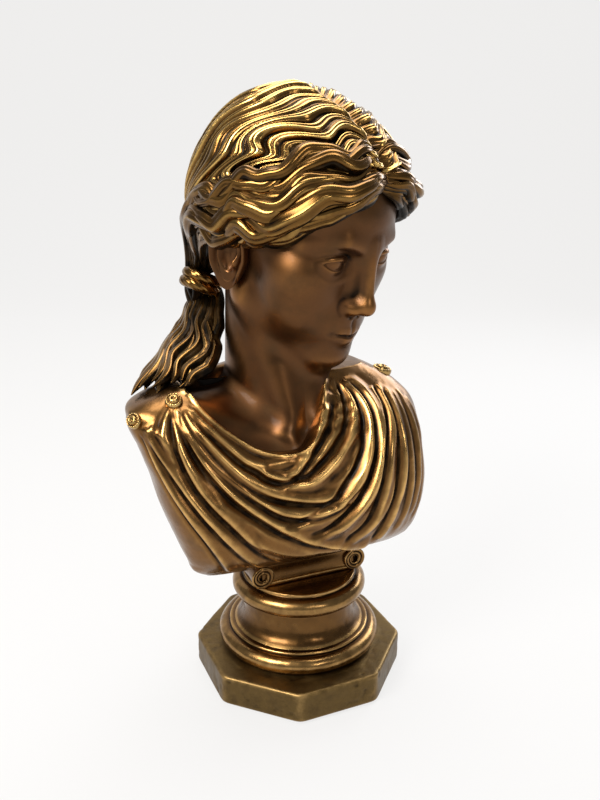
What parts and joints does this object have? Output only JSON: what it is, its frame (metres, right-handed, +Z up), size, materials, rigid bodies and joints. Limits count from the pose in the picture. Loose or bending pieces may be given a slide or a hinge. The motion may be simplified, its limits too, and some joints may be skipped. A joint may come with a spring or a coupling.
{
  "type": "classical bust",
  "caption": "Draped classical bust with a bowed, turned head, cast in bronze with an antique gold finish, standing on a turned socle and an octagonal plinth.",
  "frame": {"origin": "centre of the felt under the plinth, on the surface that the bust stands on", "axes": "+Z up, the chest faces -Y, the figure's right side is at -X"},
  "size_m": [0.2909, 0.2179, 0.569],
  "materials": {
    "base_felt": "dense dark green-black felt",
    "plinth_bronze": "mottled olive-brown patina, worn gold edges, low sheen",
    "socle_bronze": "golden brown patina, polished high spots, satin to gloss",
    "drapery_bronze": "brown patina with rubbed pale gold fold ridges, near-black grooves",
    "skin_bronze": "satin copper-brown patina",
    "hair_bronze": "bright rubbed gold ridges over near-black grooves, glossy",
    "brooch_bronze": "rubbed gold over brown patina",
    "fixing_steel": "zinc-dulled steel"
  },
  "bodies": {
    "root": {"base_felt": "base_felt", "plinth": "plinth_bronze", "socle_base": "socle_bronze", "socle_waist": "socle_bronze", "socle_collar": "socle_bronze", "scroll_tablet": "socle_bronze", "head_and_neck": "skin_bronze", "brooch_right": "brooch_bronze", "brooch_right_sleeve": "brooch_bronze", "brooch_left": "brooch_bronze", "bust_shell": "drapery_bronze", "back_cover": "drapery_bronze", "hair_cap": "hair_bronze", "hair_roll_right": "hair_bronze", "hair_roll_left": "hair_bronze", "hair_tie": "hair_bronze", "hair_tress": "hair_bronze", "bridge_bar": "fixing_steel", "bridge_bar_screws": "fixing_steel", "tie_rod": "fixing_steel", "top_washer": "fixing_steel", "top_nut": "fixing_steel", "bottom_washer": "fixing_steel", "bottom_nut": "fixing_steel", "plinth_pins": "fixing_steel", "tablet_pins": "fixing_steel"}
  },
  "joints": []
}
